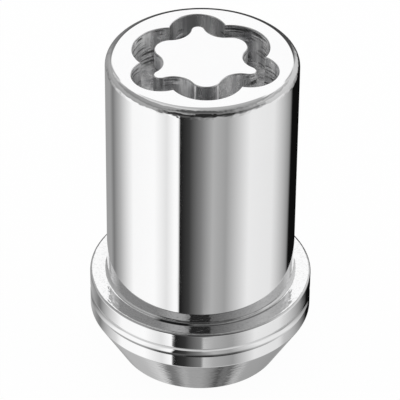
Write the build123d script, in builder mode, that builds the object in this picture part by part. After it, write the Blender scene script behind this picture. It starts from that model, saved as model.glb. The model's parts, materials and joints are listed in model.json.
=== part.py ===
from build123d import *
from math import isclose, radians, tan
import os

os.makedirs("parts", exist_ok=True)

# A cone-seat locking wheel nut, turned from one piece of steel and plated. It stands on its
# small end, as it lies on a bench before fitting: +Z runs up the axis, from the mouth of the
# threaded bore to the end face that holds the key groove.

# Stud thread, M12 x 1.5. The bore is modelled at its tapping size.
thread_diameter = 12.0
thread_pitch = 1.5
bore_depth = 24.5
drill_point_angle = 118.0
mouth_clearance = 0.6
mouth_angle = 90.0

# Plain barrel that the key's socket turns on
barrel_diameter = 20.6
barrel_height = 27.7
end_edge_radius = 0.95
root_fillet_radius = 0.3

# Collar with a shallow turned groove round its side
collar_diameter = 24.4
collar_height = 4.5
collar_edge_radius = 0.3
collar_groove_width = 1.2
collar_groove_depth = 0.16
collar_groove_drop = 2.45

# Cone seat that centres the nut in the wheel
seat_angle = 60.0
seat_height = 5.6
nose_edge_radius = 0.25

# Key groove: a channel of constant width that follows six lobes, alike on both sides of a plane
# through the axis. The lobes of one side are listed, the first and last of them on the plane.
# Each is a circle given by its direction from the plane in degrees, the rim left between it and
# the end face's edge, and its radius.
key_groove_direction = 95.6
key_lobes = [
    (0.0, 1.0, 3.05),
    (60.3, 1.6, 4.1),
    (121.9, 0.8, 3.05),
    (180.0, 1.35, 3.9),
]
key_groove_width = 2.3
key_groove_depth = 4.0
key_edge_break = 0.12

# Heights and radii that follow from the sizes above
bore_radius = (thread_diameter - thread_pitch) / 2
barrel_radius = barrel_diameter / 2
collar_radius = collar_diameter / 2
mouth_radius = thread_diameter / 2 + mouth_clearance / 2
mouth_depth = (mouth_radius - bore_radius) / tan(radians(mouth_angle / 2))
drill_point_height = bore_radius / tan(radians(drill_point_angle / 2))
nose_radius = collar_radius - seat_height * tan(radians(seat_angle / 2))
shoulder_height = seat_height + collar_height
overall_height = shoulder_height + barrel_height
collar_groove_top = shoulder_height - collar_groove_drop + collar_groove_width / 2
collar_groove_bottom = collar_groove_top - collar_groove_width
end_face_radius = barrel_radius - end_edge_radius
lobe_radii = [lobe_radius for direction, rim, lobe_radius in key_lobes]
lobe_centres = [
    Vector(end_face_radius - rim - lobe_radius, 0).rotate(Axis.Z, direction)
    for direction, rim, lobe_radius in key_lobes
]

with BuildPart() as wheel_nut:
    # Half of the turned section, from the drill point round the outside to the end face
    with BuildSketch(Plane.XZ) as turned_section:
        with BuildLine():
            bore_side = Polyline(
                (0, bore_depth + drill_point_height),
                (bore_radius, bore_depth),
                (bore_radius, mouth_depth),
                (mouth_radius, 0),
                (nose_radius, 0),
                (collar_radius, seat_height),
                (collar_radius, collar_groove_bottom),
            )
            collar_groove = SagittaArc(
                (collar_radius, collar_groove_bottom),
                (collar_radius, collar_groove_top),
                collar_groove_depth,
            )
            outer_side = Polyline(
                (collar_radius, collar_groove_top),
                (collar_radius, shoulder_height),
                (barrel_radius, shoulder_height),
                (barrel_radius, overall_height),
                (0, overall_height),
                (0, bore_depth + drill_point_height),
            )
        make_face()
    revolve(axis=Axis.Z)

    # Rounded end edge and collar edges, and small radii at the barrel's root and the nose
    circles = wheel_nut.edges().filter_by(GeomType.CIRCLE).sort_by(Axis.Z)
    barrel_circles = circles.filter_by(lambda circle: isclose(circle.radius, barrel_radius))
    collar_circles = circles.filter_by(lambda circle: isclose(circle.radius, collar_radius))
    nose_circles = circles.filter_by(lambda circle: isclose(circle.radius, nose_radius))
    fillet(barrel_circles[-1], end_edge_radius)
    fillet(barrel_circles[0], root_fillet_radius)
    fillet([collar_circles[0], collar_circles[-1]], collar_edge_radius)
    fillet(nose_circles[0], nose_edge_radius)

    # The groove's outer wall is the outline of the lobes and the core between them. Its inner
    # wall is the same outline moved in by the groove's width, which leaves an island level with
    # the end face.
    end_plane = Plane.XY.offset(overall_height).rotated((0, 0, key_groove_direction))
    with BuildSketch(end_plane) as key_groove:
        Polygon(*lobe_centres, align=None)
        for lobe_centre, lobe_radius in zip(lobe_centres, lobe_radii):
            with Locations(lobe_centre):
                Circle(lobe_radius)
        mirror(about=Plane.XZ)
        offset(amount=-key_groove_width, kind=Kind.ARC, mode=Mode.SUBTRACT)
    extrude(amount=-key_groove_depth, mode=Mode.SUBTRACT)

    # Light edge break round both lips of the key groove
    lips = wheel_nut.edges(Select.LAST).group_by(Axis.Z)[-1]
    chamfer(lips, key_edge_break)

wheel_nut.part.label = "wheel_nut"
export_step(wheel_nut.part, "parts/wheel_nut.step")
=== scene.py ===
import bmesh
import bpy
import json
from math import atan2, ceil, cos, pi, radians, sin, sqrt, tan, tau
from mathutils import Matrix, Vector


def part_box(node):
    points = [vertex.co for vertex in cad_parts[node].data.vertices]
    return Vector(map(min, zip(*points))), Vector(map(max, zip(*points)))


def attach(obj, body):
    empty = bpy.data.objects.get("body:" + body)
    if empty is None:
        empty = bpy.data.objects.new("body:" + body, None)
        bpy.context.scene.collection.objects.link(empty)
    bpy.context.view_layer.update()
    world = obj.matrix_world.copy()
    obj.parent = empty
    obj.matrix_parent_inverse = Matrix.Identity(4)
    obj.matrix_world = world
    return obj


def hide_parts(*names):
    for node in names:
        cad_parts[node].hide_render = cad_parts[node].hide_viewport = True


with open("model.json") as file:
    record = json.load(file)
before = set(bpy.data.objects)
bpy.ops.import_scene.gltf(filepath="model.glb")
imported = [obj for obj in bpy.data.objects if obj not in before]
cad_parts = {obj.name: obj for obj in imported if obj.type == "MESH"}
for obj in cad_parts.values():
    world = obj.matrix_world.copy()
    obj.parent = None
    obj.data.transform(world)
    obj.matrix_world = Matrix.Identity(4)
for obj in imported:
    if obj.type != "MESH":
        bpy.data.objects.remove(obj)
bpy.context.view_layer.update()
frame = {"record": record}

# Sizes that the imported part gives
mm = 0.001
nut_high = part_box("wheel_nut")[1]
overall_height = nut_high.z
collar_radius = nut_high.x
mounts = {mount["name"]: mount for mount in frame["record"]["mounts"]}
bore_radius = mounts["stud_thread"]["dims"]["r_mm"] * mm

# Barrel, collar and seat
barrel_radius = 10.3 * mm
end_edge_radius = 0.95 * mm
shoulder_height = 10.1 * mm
root_fillet_radius = 0.3 * mm
collar_edge_radius = 0.3 * mm
collar_groove_top = 8.25 * mm
collar_groove_width = 1.2 * mm
collar_groove_depth = 0.16 * mm
seat_height = 5.6 * mm
nose_radius = 8.967 * mm
nose_edge_radius = 0.25 * mm

# Thread bore
thread_pitch = 1.5 * mm
thread_depth = 0.75 * mm
thread_flank = thread_depth * tan(radians(30))
thread_root_flat = thread_pitch / 8
bore_depth = 24.5 * mm
drill_point_height = 3.155 * mm
mouth_radius = 6.3 * mm

# Key groove, alike on both sides of a plane through the axis: each lobe's direction from that
# plane in degrees, its centre's distance from the axis, and its radius
key_groove_direction = 95.6
key_lobes = [
    (-121.9, 5.5 * mm, 3.05 * mm),
    (-60.3, 3.65 * mm, 4.1 * mm),
    (0.0, 5.3 * mm, 3.05 * mm),
    (60.3, 3.65 * mm, 4.1 * mm),
    (121.9, 5.5 * mm, 3.05 * mm),
    (180.0, 4.1 * mm, 3.9 * mm),
]
key_groove_width = 2.3 * mm
key_groove_depth = 4.0 * mm
key_groove_floor = overall_height - key_groove_depth
lip_radius = 0.12 * mm

# Fineness of the mesh: steps round each curve, and how far beside a rounding a row keeps the
# flat there flat in the shading
lobe_steps = 64
hollow_steps = 14
edge_steps = 8
collar_groove_steps = 12
support = 0.03 * mm
weld_distance = 0.0001 * mm
sharp_angle = radians(20)

# Camera, as the photograph was taken, with its lens in millimetres
camera_distance = 319.3 * mm
camera_elevation = radians(35.985)
camera_pivot_height = 20.4 * mm
camera_aim = Vector((-0.118, 0, 19.183)) * mm
camera_roll = 0.0102
camera_lens = 264.56

# Grey levels of the plain parts of the studio, out of 255
white_card = 254
lens_level = 38
floor_level = 205
shade_under_nut = 140
panel_strength = 1.05

# Where parts of the studio begin and end, in degrees above the horizon or round from the camera
lens_elevations = (6, 44.5)
lens_azimuths = (-12.5, 12.5)
low_front_elevations = (31, 44)
white_card_elevation = 29
horizon = -4

# Floor
floor_half_size = 2.0
floor_drop = 0.01 * mm
floor_glow = 0.96

# Grains a metre of the noises that follow the turning, round the axis and along the outline
turning_grains = (60, 9000)
chatter_grains = (1100, 2600)
thread_grains = (300, 12000)

# Grains a metre of the other noises, along x, y and z
cloud_grains = 260.0
flat_grains = (5200, 5200, 5200)
streak_grains = (1500, 1500, 90)
shade_grains = (520, 520, 60)
mark_grains = (300, 300, 3600)
patch_grains = (450, 450, 700)
blotch_grains = (650, 650, 260)

# How high the bumps of the materials stand
turning_height = 0.004 * mm
chatter_height = 0.12 * mm
streak_height = 0.04 * mm
mark_height = 0.1 * mm
thread_line_height = 0.01 * mm

# How strongly the bumps show. The turning lines show a little everywhere, and more on the collar
# and the seat.
turning_strength = 0.01
collar_turning_strength = 0.16
seat_chatter_strength = 0.16
flat_chatter_strength = 0.2
edge_chatter_strength = 0.55
streak_strength = 0.4
mark_strength = 0.85
unmarked_strength = 0.1
thread_line_strength = 0.3

# Roughness of the materials. The first two run between two ends as their noise does.
plate_roughness = (0.03, 0.07)
recess_roughness = (0.34, 0.18)
thread_roughness = 0.34

# Tones of the materials
white = (1, 1, 1, 1)
plate_tones = ((0.92, 0.92, 0.925, 1), (0.94, 0.94, 0.94, 1))
grain_tone = (0.62, 0.62, 0.62, 1)
# Painted shade for the corner at the barrel's root
painted_shade_tone = (0.04, 0.04, 0.04, 1)
streak_tone = (0.5, 0.5, 0.51, 1)
mark_tone = (0.12, 0.12, 0.12, 1)
thread_tones = ((0.40, 0.39, 0.38, 1), (0.56, 0.55, 0.53, 1))
paper_tone = (0.9, 0.9, 0.9, 1)

# Painted shade in the corner at the barrel's root: a dark line to the right and a broader one in
# front. Each lies between two radii, and between two directions in degrees round from the front.
painted_shade_line = (barrel_radius + 0.17 * mm, barrel_radius + 0.36 * mm)
painted_shade_line_directions = (0, 58)
painted_shade_line_share = 0.6
broad_painted_shade_line = (barrel_radius + 0.09 * mm, barrel_radius + 0.44 * mm)
broad_painted_shade_line_directions = (-26, -5)
painted_shade_softness = 0.08 * mm

# Two pale lines down the island's front, each between two values of x, and the island's front
# between two values of y
pale_lines = ((-0.83 * mm, -0.65 * mm), (1.53 * mm, 1.71 * mm))
pale_line_softness = 0.05 * mm
island_front = (-6.3 * mm, -3 * mm)

# A cutter mark is dark where its noise is over the first of these, and a pale fleck where it is
# under the second
dark_mark_level = 0.56
fleck_level = 0.42
dark_mark_share = 0.9

# How dull the plate is in the parts of the key groove, from 0 to 1
far_left_dullness = 0.62
far_right_dullness = 0.36
beside_dullness = 0.34
front_left_dullness = 0.8
front_right_dullness = 0.3
least_dullness = 0.1

# Numbers of the material slots on the mesh
CHROME, RECESS, THREAD = 0, 1, 2


def polar(radius, angle):
    return Vector((radius * cos(angle), radius * sin(angle)))


def turn_of(vector):
    return atan2(vector.y, vector.x)


def shortest(angle):
    """The same angle between half a turn back and half a turn forward."""
    return (angle + pi) % tau - pi


def arc(centre, radius, start, turn, steps):
    return [centre + polar(radius, start + turn * step / steps) for step in range(steps + 1)]


def lobe_circles(grow=0.0):
    return [(polar(distance, radians(key_groove_direction + direction)), radius + grow)
            for direction, distance, radius in key_lobes]


def ridges(grow=0.0):
    """Where each lobe of the outer wall meets the next one."""
    points = []
    lobes = lobe_circles(grow)
    for (centre, radius), (next_centre, next_radius) in zip(lobes, lobes[1:] + lobes[:1]):
        span = next_centre - centre
        along = (span.length_squared + radius ** 2 - next_radius ** 2) / (2 * span.length)
        across = sqrt(radius ** 2 - along ** 2)
        forward = span.normalized()
        points.append(centre + along * forward + across * Vector((forward.y, -forward.x)))
    return points


def outer_outline(grow=0.0):
    """Outline of the groove's outer wall. Each ridge is repeated, once for each point of the
    island's hollow across from it, so that both outlines have as many points."""
    points = []
    ends = ridges(grow)
    for (centre, radius), start, end in zip(lobe_circles(grow), ends[-1:] + ends[:-1], ends):
        start_turn = turn_of(start - centre)
        turn = (turn_of(end - centre) - start_turn) % tau
        points += arc(centre, radius, start_turn, turn, lobe_steps)
        points += [end] * (hollow_steps - 1)
    return points


def island_outline(inset=0.0):
    """Outline of the island: tips round the lobes' centres and hollows round the ridges."""
    points = []
    lobes = lobe_circles()
    ends = ridges()
    for number, (centre, radius) in enumerate(lobes):
        ridge = ends[number]
        next_centre = lobes[(number + 1) % len(lobes)][0]
        start_turn = turn_of(ends[number - 1] - centre)
        turn = (turn_of(ridge - centre) - start_turn) % tau
        points += arc(centre, radius - key_groove_width - inset, start_turn, turn, lobe_steps)
        hollow_start = turn_of(centre - ridge)
        hollow_turn = shortest(turn_of(next_centre - ridge) - hollow_start)
        hollow = arc(ridge, key_groove_width + inset, hollow_start, hollow_turn, hollow_steps)
        points += hollow[1:-1]
    return points


def rounded_line(corners):
    """Points along a line of corners, each given as its radius, its height and its rounding, with
    a supporting point beside each end of a rounding."""
    line = [Vector(corners[0][:2])]
    for before, corner, after in zip(corners, corners[1:], corners[2:]):
        point, rounding = Vector(corner[:2]), corner[2]
        if rounding == 0:
            line.append(point)
            continue
        back = (Vector(before[:2]) - point).normalized()
        ahead = (Vector(after[:2]) - point).normalized()
        half_angle = back.angle(ahead) / 2
        centre = point + (back + ahead).normalized() * rounding / sin(half_angle)
        start = point + back * rounding / tan(half_angle) - centre
        end = point + ahead * rounding / tan(half_angle) - centre
        turn = shortest(turn_of(end) - turn_of(start))
        line.append(centre + start + back * support)
        line += arc(centre, rounding, turn_of(start), turn, edge_steps)
        line.append(centre + end + ahead * support)
    return line + [Vector(corners[-1][:2])]


def collar_groove_line():
    """The shallow turned groove round the collar, from its upper edge down."""
    half_width = collar_groove_width / 2
    radius = (half_width ** 2 + collar_groove_depth ** 2) / (2 * collar_groove_depth)
    centre = Vector((collar_radius - collar_groove_depth + radius, collar_groove_top - half_width))
    half_turn = atan2(half_width, radius - collar_groove_depth)
    return arc(centre, radius, pi - half_turn, 2 * half_turn, collar_groove_steps)


def turned_line():
    """Half section of the outside, from the edge of the end face down to the bore's mouth."""
    above_groove = rounded_line([
        (barrel_radius - end_edge_radius - 2 * support, overall_height, 0),
        (barrel_radius, overall_height, end_edge_radius),
        (barrel_radius, shoulder_height, root_fillet_radius),
        (collar_radius, shoulder_height, collar_edge_radius),
        (collar_radius, collar_groove_top, 0),
    ])
    below_groove = rounded_line([
        (collar_radius, collar_groove_top - collar_groove_width, 0),
        (collar_radius, seat_height, collar_edge_radius),
        (nose_radius, 0, nose_edge_radius),
        (mouth_radius, 0, 0),
    ])
    return above_groove[:-1] + collar_groove_line() + below_groove[1:]


class Skin:
    """A mesh that grows ring by ring, each ring joined to the one before it."""

    def __init__(self):
        self.mesh = bmesh.new()
        self.ring = None

    def add(self, points, material, closed=True):
        ring = [self.mesh.verts.new(point) for point in points]
        if self.ring:
            for index in range(len(ring) - (0 if closed else 1)):
                following = (index + 1) % len(ring)
                corners = (self.ring[index], ring[index], ring[following], self.ring[following])
                self.mesh.faces.new(corners).material_index = material
        self.ring = ring

    def cap(self, point, material):
        tip = self.mesh.verts.new(point)
        for vertex, following in zip(self.ring, self.ring[1:] + self.ring[:1]):
            self.mesh.faces.new((tip, vertex, following)).material_index = material

    def start(self):
        self.ring = None


def lip_steps():
    """Inset and drop of each step down a rounded lip of the key groove, with a step beside it on
    the flat and on the wall."""
    yield lip_radius + support, 0
    for step in range(edge_steps + 1):
        angle = pi / 2 * step / edge_steps
        yield lip_radius * (1 - sin(angle)), lip_radius * (1 - cos(angle))
    yield 0, lip_radius + support


def at_height(points, height):
    return [Vector((point.x, point.y, height)) for point in points]


def circle_at(directions, radius, height):
    return at_height([polar(radius, direction) for direction in directions], height)


def add_key_groove(skin):
    """The island, the groove's walls and floor, and the lip of the rim."""
    for number, (inset, drop) in enumerate(lip_steps()):
        skin.add(at_height(island_outline(inset), overall_height - drop), CHROME)
        if number == 0:
            skin.cap((0, 0, overall_height), CHROME)
    skin.add(at_height(island_outline(), key_groove_floor), RECESS)
    skin.add(at_height(outer_outline(), key_groove_floor), RECESS)
    for number, (grow, drop) in enumerate(reversed(list(lip_steps()))):
        material = RECESS if number == 0 else CHROME
        skin.add(at_height(outer_outline(grow), overall_height - drop), material)


def add_outside(skin, directions):
    """Everything that is turned, from the rim of the end face down to the bore's mouth."""
    for radius, height in turned_line():
        skin.add(circle_at(directions, radius, height), CHROME)


def thread_rows():
    """Height and radius of each row of the thread, as it lies at direction zero."""
    crest_flat = thread_pitch - 2 * thread_flank - thread_root_flat
    root_radius = bore_radius + thread_depth
    for turn in range(-2, ceil(bore_depth / thread_pitch) + 2):
        foot = turn * thread_pitch
        yield foot, bore_radius
        yield foot + crest_flat, bore_radius
        yield foot + crest_flat + thread_flank, root_radius
        yield foot + crest_flat + thread_flank + thread_root_flat, root_radius


def add_bore(skin, directions):
    """The right-handed thread, cut off by the mouth's chamfer and run out at its far end."""
    skin.start()
    for row_height, row_radius in thread_rows():
        points = []
        for direction in directions + [directions[0] + tau]:
            height = row_height + thread_pitch * (direction - directions[0]) / tau
            height = min(max(height, 0), bore_depth)
            run_out = min((bore_depth - height) / thread_pitch, 1)
            radius = bore_radius + (row_radius - bore_radius) * run_out
            radius = max(radius, mouth_radius - height)
            points.append(Vector((*polar(radius, direction), height)))
        skin.add(points, THREAD, closed=False)
    skin.start()
    skin.add(circle_at(directions, bore_radius, bore_depth), THREAD)
    skin.cap((0, 0, bore_depth + drill_point_height), THREAD)


def rim_directions():
    """Direction of each point of the rim's lip, without a jump after half a turn. All that is
    turned has its points in these directions, so that it joins the lip."""
    directions = [turn_of(point) for point in outer_outline(lip_radius)]
    for index in range(1, len(directions)):
        before = directions[index - 1]
        directions[index] = before + shortest(directions[index] - before)
    return directions


def make_nut():
    skin = Skin()
    directions = rim_directions()
    add_key_groove(skin)
    add_outside(skin, directions)
    add_bore(skin, directions)
    bmesh.ops.remove_doubles(skin.mesh, verts=skin.mesh.verts, dist=weld_distance)
    bmesh.ops.recalc_face_normals(skin.mesh, faces=skin.mesh.faces)
    mesh = bpy.data.meshes.new("chromed_nut")
    skin.mesh.to_mesh(mesh)
    skin.mesh.free()
    mesh.shade_smooth()
    mesh.set_sharp_from_angle(angle=sharp_angle)
    nut = bpy.data.objects.new("chromed_nut", mesh)
    bpy.context.scene.collection.objects.link(nut)
    return nut


def grey(level):
    """Linear brightness of a grey that shows as this level out of 255."""
    share = level / 255
    return ((share + 0.055) / 1.055) ** 2.4 if share > 0.04045 else share / 12.92


def flat_grey(level):
    return (grey(level),) * 3 + (1,)


class Nodes:
    """Short ways to build the node tree of a material or of the world."""

    def __init__(self, owner):
        owner.use_nodes = True
        self.tree = owner.node_tree
        self.tree.nodes.clear()

    def node(self, kind, values=None, **settings):
        node = self.tree.nodes.new(kind)
        for name, value in settings.items():
            setattr(node, name, value)
        for name, value in (values or {}).items():
            self.put(value, node.inputs[name])
        return node

    def put(self, value, socket):
        if isinstance(value, bpy.types.NodeSocket):
            self.tree.links.new(value, socket)
        else:
            socket.default_value = value

    def math(self, operation, first, second=0.0):
        return self.node("ShaderNodeMath", {0: first, 1: second}, operation=operation).outputs[0]

    def times(self, first, second):
        return self.math("MULTIPLY", first, second)

    def plus(self, first, second):
        return self.math("ADD", first, second)

    def minus(self, first, second):
        return self.math("SUBTRACT", first, second)

    def larger(self, first, second):
        return self.math("MAXIMUM", first, second)

    def length(self, x, y):
        square = self.plus(self.math("POWER", x, 2.0), self.math("POWER", y, 2.0))
        return self.math("SQRT", square)

    def step(self, value, edge, soft):
        """0 below the edge and 1 above it, over a range this soft."""
        limits = {"Value": value, "From Min": edge - soft / 2, "From Max": edge + soft / 2}
        return self.node("ShaderNodeMapRange", limits).outputs[0]

    def below(self, value, edge, soft):
        """1 below the edge and 0 above it, over a range this soft."""
        return self.minus(1.0, self.step(value, edge, soft))

    def between(self, value, low, high, soft):
        """1 where the value lies between low and high, with edges this soft."""
        return self.minus(self.step(value, low, soft), self.step(value, high, soft))

    def spread(self, noise, first, last):
        """The usual range of a noise, 0.3 to 0.7, brought to first to last."""
        values = {"Value": noise, "From Min": 0.3, "From Max": 0.7, "To Min": first, "To Max": last}
        return self.node("ShaderNodeMapRange", values).outputs[0]

    def ramp(self, value, low, high, stops):
        """A smooth row of greys. Each stop is a place between low and high, and a grey level."""
        place = self.node("ShaderNodeMapRange", {"Value": value, "From Min": low, "From Max": high})
        ramp = self.node("ShaderNodeValToRGB", {"Fac": place.outputs[0]})
        points = ramp.color_ramp.elements
        for index, (where, level) in enumerate(stops):
            position = (where - low) / (high - low)
            point = points[index] if index < 2 else points.new(position)
            point.position = position
            point.color = flat_grey(level)
        return ramp.outputs[0]

    def mix(self, share, first, second):
        values = {"Factor": share, 6: first, 7: second}
        return self.node("ShaderNodeMix", values, data_type="RGBA").outputs[2]

    def position(self):
        return self.node("ShaderNodeTexCoord").outputs["Object"]

    def parts(self, vector):
        return self.node("ShaderNodeSeparateXYZ", {0: vector}).outputs

    def noise(self, at, detail, grains=1.0):
        values = {"Vector": at, "Scale": grains, "Detail": detail}
        return self.node("ShaderNodeTexNoise", values).outputs[0]

    def stretched_noise(self, position, grains, detail):
        """Noise with this many grains a metre along each axis."""
        at = self.node("ShaderNodeMapping", {"Vector": position, "Scale": grains})
        return self.noise(at.outputs[0], detail)

    def bump(self, height, strength, distance):
        values = {"Height": height, "Strength": strength, "Distance": distance}
        return self.node("ShaderNodeBump", values)

    def shader_mix(self, share, first, second):
        values = {0: share, 1: first.outputs[0], 2: second.outputs[0]}
        return self.node("ShaderNodeMixShader", values)

    def finish(self, shader, output="ShaderNodeOutputMaterial"):
        self.node(output, {0: shader.outputs[0]})

    def finish_metal(self, tone, metallic, roughness, bump):
        values = {"Base Color": tone, "Metallic": metallic, "Roughness": roughness}
        shader = self.node("ShaderNodeBsdfPrincipled", values)
        self.put(bump.outputs[0], shader.inputs["Normal"])
        self.finish(shader)


def barrel_panels(nodes, azimuth):
    """Panels round the nut at the height that the barrel's side reflects: a soft box on each
    side, a dark flag and a grey card in front, and a dark flag at the far right."""
    return nodes.ramp(azimuth, -180, 180, [
        (-180, 155), (-142, 155), (-132, 120), (-115, 175), (-90, 250), (-58, 253), (-42, 228),
        (-32, 253), (-27.2, 254), (-25.6, 25), (-14, 60), (0, 124), (14, 176), (30, 158), (60, 235),
        (95, 230), (129, 140), (135, 15), (176, 12), (180, 150),
    ])


def collar_panels(nodes, azimuth):
    """The same panels a little lower down, where the collar's side reflects them."""
    return nodes.ramp(azimuth, -180, 180, [
        (-180, 190), (-150, 160), (-130, 115), (-90, 250), (-60, 254), (-40, 225), (-29.3, 254),
        (-28, 25), (-15, 50), (2, 122), (4, 200), (15, 168), (35, 150), (60, 230), (90, 225),
        (138, 108), (148, 15), (172, 10), (180, 60),
    ])


def low_front_panels(nodes, azimuth):
    """What the flat on top of the collar shows, through the barrel that is mirrored in it."""
    return nodes.ramp(azimuth, -180, 180, [
        (-180, 150), (-153, 125), (-142, 205), (-118, 140), (-53, 132), (-32, 165), (-20, 160),
        (-13, 122), (13, 92), (35, 120), (60, 155), (85, 180), (122, 172), (142, 205), (153, 135),
        (180, 150),
    ])


def high_front_panels(nodes, azimuth, elevation):
    """What the rounded end edge and the other lips show above the horizon in front."""
    left = nodes.ramp(elevation, -90, 90, [(0, 155), (20, 170), (40, 147), (90, 160)])
    centre = nodes.ramp(elevation, -90, 90, [
        (0, 92), (18, 40), (30, 40), (46, 120), (60, 70), (68, 95), (76, 65), (90, 130),
    ])
    right = nodes.ramp(elevation, -90, 90, [
        (0, 190), (18, 110), (38, 152), (52, 150), (62, 120), (90, 160),
    ])
    far_right = nodes.ramp(elevation, -90, 90, [(0, 200), (44, 208), (54, 150), (90, 165)])
    front = nodes.mix(nodes.step(azimuth, -46, 16), left, centre)
    front = nodes.mix(nodes.step(azimuth, 44, 18), front, right)
    return nodes.mix(nodes.step(azimuth, 74, 14), front, far_right)


def low_back_panels(nodes, azimuth):
    """Dark cards behind the nut, low down."""
    return nodes.ramp(azimuth, -180, 180, [
        (-180, 45), (-176, 55), (-165, 125), (-140, 130), (140, 75), (165, 75), (180, 45),
    ])


def top_back_panels(nodes, azimuth):
    """Grey cards behind the nut, over the white one that the end face mirrors."""
    return nodes.ramp(azimuth, -180, 180, [
        (-180, 178), (-150, 212), (-120, 224), (0, 165), (120, 168), (180, 178),
    ])


def floor_panels(nodes, x, y):
    """What the cone seat shows: a pale floor behind the nut, with two dark patches on it. The
    stops run round a point behind the nut."""
    point_behind = 0.47
    bearing = nodes.math("DEGREES", nodes.math("ARCTAN2", x, nodes.minus(point_behind, y)))
    return nodes.ramp(bearing, -180, 180, [
        (-180, 172), (-150, 160), (-130, 178), (-80, 181), (-51, 206), (-38, 112), (-30, 120),
        (-18, 170), (-12, 158), (2, 158), (12, 138), (23, 78), (31, 118), (37, 92), (52, 185),
        (62, 160), (140, 148), (160, 160), (180, 215),
    ])


def side_panels(nodes, turn, azimuth, down):
    """The panels of the barrel, and the panels of the collar from where its side mirrors them."""
    sideways = nodes.math("COSINE", nodes.times(turn, 0.5))
    collar_edge = nodes.plus(nodes.times(sideways, 1.15), 37.55)
    on_collar = nodes.step(nodes.minus(down, collar_edge), 0, 0.2)
    return nodes.mix(on_collar, barrel_panels(nodes, azimuth), collar_panels(nodes, azimuth))


def front_panels(nodes, azimuth, elevation):
    """The panels above the horizon, with the camera's dark lens in the middle in front."""
    low_front = nodes.between(elevation, *low_front_elevations, 3)
    front = nodes.mix(low_front, high_front_panels(nodes, azimuth, elevation),
                      low_front_panels(nodes, azimuth))
    lens = nodes.times(nodes.between(elevation, *lens_elevations, 3),
                       nodes.between(azimuth, *lens_azimuths, 2))
    return nodes.mix(lens, front, flat_grey(lens_level))


def add_back_panels(nodes, sky, azimuth, elevation):
    """Behind the nut: dark cards low down, a white card for the end face, and grey cards above."""
    aside = nodes.math("ABSOLUTE", azimuth)
    on_card = nodes.step(elevation, white_card_elevation, 2)
    back = nodes.mix(on_card, low_back_panels(nodes, azimuth), flat_grey(white_card))
    behind = nodes.times(nodes.step(elevation, -28, 8), nodes.step(aside, 155, 12))
    high_behind = nodes.times(nodes.step(elevation, 41, 2), nodes.step(aside, 139, 12))
    top_edge = nodes.plus(elevation, nodes.times(aside, 0.3))
    top_behind = nodes.times(nodes.step(top_edge, 98, 3), nodes.step(aside, 122, 16))
    sky = nodes.mix(behind, sky, back)
    sky = nodes.mix(high_behind, sky, flat_grey(white_card))
    return nodes.mix(top_behind, sky, top_back_panels(nodes, azimuth))


def make_studio():
    """A white room for the camera. Metal sees soft panels round the nut and a dark flag in
    front."""
    world = bpy.data.worlds.new("studio")
    bpy.context.scene.world = world
    nodes = Nodes(world)
    x, y, z = nodes.parts(nodes.node("ShaderNodeTexCoord").outputs["Generated"])
    turn = nodes.math("ARCTAN2", x, nodes.times(y, -1.0))
    azimuth = nodes.math("DEGREES", turn)
    elevation = nodes.math("DEGREES", nodes.math("ARCSINE", z))
    down = nodes.times(elevation, -1.0)

    above_horizon = nodes.step(elevation, horizon, 9)
    floor_behind = nodes.times(nodes.step(down, 39, 1), nodes.step(y, 0.1, 0.08))
    sky = side_panels(nodes, turn, azimuth, down)
    sky = nodes.mix(above_horizon, sky, front_panels(nodes, azimuth, elevation))
    sky = add_back_panels(nodes, sky, azimuth, elevation)
    sky = nodes.mix(nodes.step(down, 47, 8), sky, flat_grey(floor_level))
    sky = nodes.mix(nodes.step(down, 72, 14), sky, flat_grey(shade_under_nut))
    sky = nodes.mix(floor_behind, sky, floor_panels(nodes, x, y))

    seen_by_metal = nodes.node("ShaderNodeBackground", {"Color": sky, "Strength": panel_strength})
    plain = nodes.node("ShaderNodeBackground", {"Color": white, "Strength": 1.0})
    glossy = nodes.node("ShaderNodeLightPath").outputs["Is Glossy Ray"]
    nodes.finish(nodes.shader_mix(glossy, plain, seen_by_metal), "ShaderNodeOutputWorld")


def turned_coordinates(nodes, around, along):
    """Coordinates that change slowly round the axis and fast along the turned outline."""
    x, y, height = nodes.parts(nodes.position())
    line = nodes.plus(height, nodes.length(x, y))
    values = {0: nodes.times(x, around), 1: nodes.times(y, around), 2: nodes.times(line, along)}
    return nodes.node("ShaderNodeCombineXYZ", values).outputs[0]


def root_painted_shade(nodes):
    """How much painted shade darkens the corner at the barrel's root, in front and to the right."""
    x, y, height = nodes.parts(nodes.position())
    radius = nodes.length(x, y)
    direction = nodes.math("DEGREES", nodes.math("ARCTAN2", x, nodes.times(y, -1.0)))
    in_front = nodes.between(direction, *broad_painted_shade_line_directions, 5)
    on_right = nodes.times(nodes.between(direction, *painted_shade_line_directions, 14), painted_shade_line_share)
    line = nodes.between(radius, *painted_shade_line, painted_shade_softness)
    broad_line = nodes.between(radius, *broad_painted_shade_line, painted_shade_softness)
    low = nodes.between(height, shoulder_height - 0.05 * mm, shoulder_height + 0.2 * mm, 0.05 * mm)
    painted_shade = nodes.larger(nodes.times(broad_line, in_front), nodes.times(line, on_right))
    return nodes.times(painted_shade, low)


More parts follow.
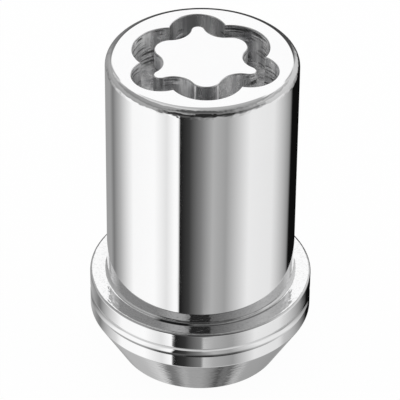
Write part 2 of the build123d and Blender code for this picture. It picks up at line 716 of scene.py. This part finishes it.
def make_chrome():
    """Mirror plate. Fine turning lines show most on the collar and the seat. Chatter marks break
    up what the seat, the collar's flat and the rounded end edge mirror. Painted shade darkens the
    corner at the barrel's root."""
    material = bpy.data.materials.new("chrome_plate")
    nodes = Nodes(material)
    position = nodes.position()
    height = nodes.parts(position)["Z"]
    on_collar_and_seat = nodes.below(height, shoulder_height - collar_edge_radius, 0.2 * mm)
    on_seat = nodes.below(height, seat_height, 0.2 * mm)
    on_flat = nodes.between(height, shoulder_height - 0.1 * mm, shoulder_height + 0.1 * mm,
                            0.1 * mm)
    on_edge = nodes.between(height, overall_height - end_edge_radius, overall_height - 0.1 * mm,
                            0.1 * mm)

    lines = nodes.noise(turned_coordinates(nodes, *turning_grains), 2.0)
    added_strength = nodes.times(on_collar_and_seat, collar_turning_strength)
    line_strength = nodes.plus(turning_strength, added_strength)
    turned = nodes.bump(lines, line_strength, turning_height)
    chatter = nodes.noise(turned_coordinates(nodes, *chatter_grains), 1.0)
    chatter_strength = nodes.plus(
        nodes.times(on_seat, seat_chatter_strength),
        nodes.plus(nodes.times(on_flat, flat_chatter_strength),
                   nodes.times(on_edge, edge_chatter_strength)))
    bump = nodes.bump(chatter, chatter_strength, chatter_height)
    nodes.put(turned.outputs[0], bump.inputs["Normal"])

    cloud = nodes.noise(position, 3.0, cloud_grains)
    grain = nodes.step(nodes.stretched_noise(position, flat_grains, 2.0), 0.58, 0.16)
    tone = nodes.mix(cloud, *plate_tones)
    tone = nodes.mix(nodes.times(on_flat, nodes.times(grain, 0.4)), tone, grain_tone)
    # Painted shade darkens the corner at the barrel's root
    tone = nodes.mix(root_painted_shade(nodes), tone, painted_shade_tone)
    nodes.finish_metal(tone, 1.0, nodes.spread(cloud, *plate_roughness), bump)
    return material


def cutter_marks(nodes, position, x, height):
    """The marks that run along the key groove's walls, and how much they show: more towards the
    sides and less on the floor."""
    marks = nodes.stretched_noise(position, mark_grains, 3.0)
    patches = nodes.stretched_noise(position, patch_grains, 1.0)
    at_sides = nodes.times(nodes.math("ABSOLUTE", x), 0.04 / mm)
    in_patches = nodes.step(nodes.plus(patches, at_sides), 0.68, 0.1)
    on_wall = nodes.step(height, key_groove_floor + 0.1 * mm, 0.1 * mm)
    return marks, nodes.times(in_patches, nodes.plus(nodes.times(on_wall, 0.7), 0.3))


def dull_plate(nodes, position, x, y, on_island_front):
    """How dull the plate is in the key groove: most at the far left and down the left half of the
    island's front, in blotches."""
    far_left = nodes.times(nodes.below(x, -5.3 * mm, 0.8 * mm), far_left_dullness)
    far_right = nodes.times(nodes.step(x, 5.3 * mm, 0.8 * mm), far_right_dullness)
    beside = nodes.times(nodes.between(y, -3 * mm, 2.5 * mm, 1 * mm), beside_dullness)
    at_side = nodes.larger(nodes.larger(far_left, far_right), beside)
    on_left = nodes.between(x, -2.4 * mm, -0.7 * mm, 0.5 * mm)
    on_right = nodes.between(x, 2.1 * mm, 4 * mm, 0.5 * mm)
    on_front = nodes.plus(nodes.times(on_left, front_left_dullness),
                          nodes.times(on_right, front_right_dullness))
    on_front = nodes.times(on_front, on_island_front)
    blotches = nodes.stretched_noise(position, blotch_grains, 4.0)
    uneven = nodes.plus(nodes.step(blotches, 0.5, 0.24), 0.5)
    return nodes.times(nodes.plus(nodes.larger(at_side, on_front), least_dullness), uneven)


def make_recess():
    """Plate in the key groove: streaks down its walls, dark cutter marks along them with pale
    flecks between, and two pale lines down the island's front, where cuts overlap."""
    material = bpy.data.materials.new("key_groove_plate")
    nodes = Nodes(material)
    position = nodes.position()
    x, y, height = nodes.parts(position)
    streaks = nodes.stretched_noise(position, streak_grains, 5.0)
    shades = nodes.stretched_noise(position, shade_grains, 2.0)
    marks, marked = cutter_marks(nodes, position, x, height)
    dark_mark = nodes.times(marked, nodes.step(marks, dark_mark_level, 0.05))
    fleck = nodes.times(marked, nodes.below(marks, fleck_level, 0.06))
    on_island_front = nodes.between(y, *island_front, 0.1 * mm)
    left_line, right_line = [nodes.between(x, *line, pale_line_softness) for line in pale_lines]
    pale_line = nodes.times(nodes.plus(left_line, right_line), on_island_front)

    light = nodes.step(nodes.plus(streaks, shades), 1.0, 0.36)
    tone = nodes.mix(light, streak_tone, white)
    tone = nodes.mix(nodes.times(dark_mark, dark_mark_share), tone, mark_tone)
    tone = nodes.mix(pale_line, tone, white)
    dull = dull_plate(nodes, position, x, y, on_island_front)
    pale = nodes.larger(nodes.larger(pale_line, fleck), dull)
    plated = nodes.minus(1.0, nodes.math("MINIMUM", pale, 1.0))

    streaked = nodes.bump(streaks, streak_strength, streak_height)
    strength = nodes.plus(nodes.times(marked, mark_strength), unmarked_strength)
    bump = nodes.bump(marks, strength, mark_height)
    nodes.put(streaked.outputs[0], bump.inputs["Normal"])
    nodes.finish_metal(tone, plated, nodes.spread(streaks, *recess_roughness), bump)
    return material


def make_thread_steel():
    """Satin thread flanks, with fine lines round them."""
    material = bpy.data.materials.new("thread_steel")
    nodes = Nodes(material)
    lines = nodes.noise(turned_coordinates(nodes, *thread_grains), 3.0)
    tone = nodes.mix(lines, *thread_tones)
    bump = nodes.bump(lines, thread_line_strength, thread_line_height)
    nodes.finish_metal(tone, 1.0, thread_roughness, bump)
    return material


def make_floor():
    """A white sweep that keeps the nut's soft shadow. Metal sees the studio's panels past it."""
    corners = [(-1, -1), (1, -1), (1, 1), (-1, 1)]
    mesh = bpy.data.meshes.new("floor")
    points = [(x * floor_half_size, y * floor_half_size, -floor_drop) for x, y in corners]
    mesh.from_pydata(points, [], [(0, 1, 2, 3)])
    floor = bpy.data.objects.new("floor", mesh)
    bpy.context.scene.collection.objects.link(floor)
    floor.visible_glossy = False
    material = bpy.data.materials.new("white_sweep")
    nodes = Nodes(material)
    paper = nodes.node("ShaderNodeBsdfDiffuse", {"Color": paper_tone})
    glow = nodes.node("ShaderNodeEmission", {"Color": white, "Strength": 1.0})
    camera_ray = nodes.node("ShaderNodeLightPath").outputs["Is Camera Ray"]
    nodes.finish(nodes.shader_mix(nodes.times(camera_ray, floor_glow), paper, glow))
    mesh.materials.append(material)
    return floor


def make_camera():
    data = bpy.data.cameras.new("camera")
    data.sensor_width = 36
    data.lens = camera_lens
    data.clip_start = 1 * mm
    camera = bpy.data.objects.new("camera", data)
    bpy.context.scene.collection.objects.link(camera)
    place = Vector((0, -cos(camera_elevation), sin(camera_elevation))) * camera_distance
    place.z += camera_pivot_height
    look = (camera_aim - place).to_track_quat("-Z", "Y").to_matrix().to_4x4()
    camera.matrix_world = Matrix.Translation(place) @ look @ Matrix.Rotation(camera_roll, 4, "Z")
    bpy.context.scene.camera = camera


nut = make_nut()
for make_material in (make_chrome, make_recess, make_thread_steel):
    nut.data.materials.append(make_material())
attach(nut, "root")
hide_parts("wheel_nut")
make_floor()
make_studio()
make_camera()
bpy.context.scene.view_settings.view_transform = "Standard"
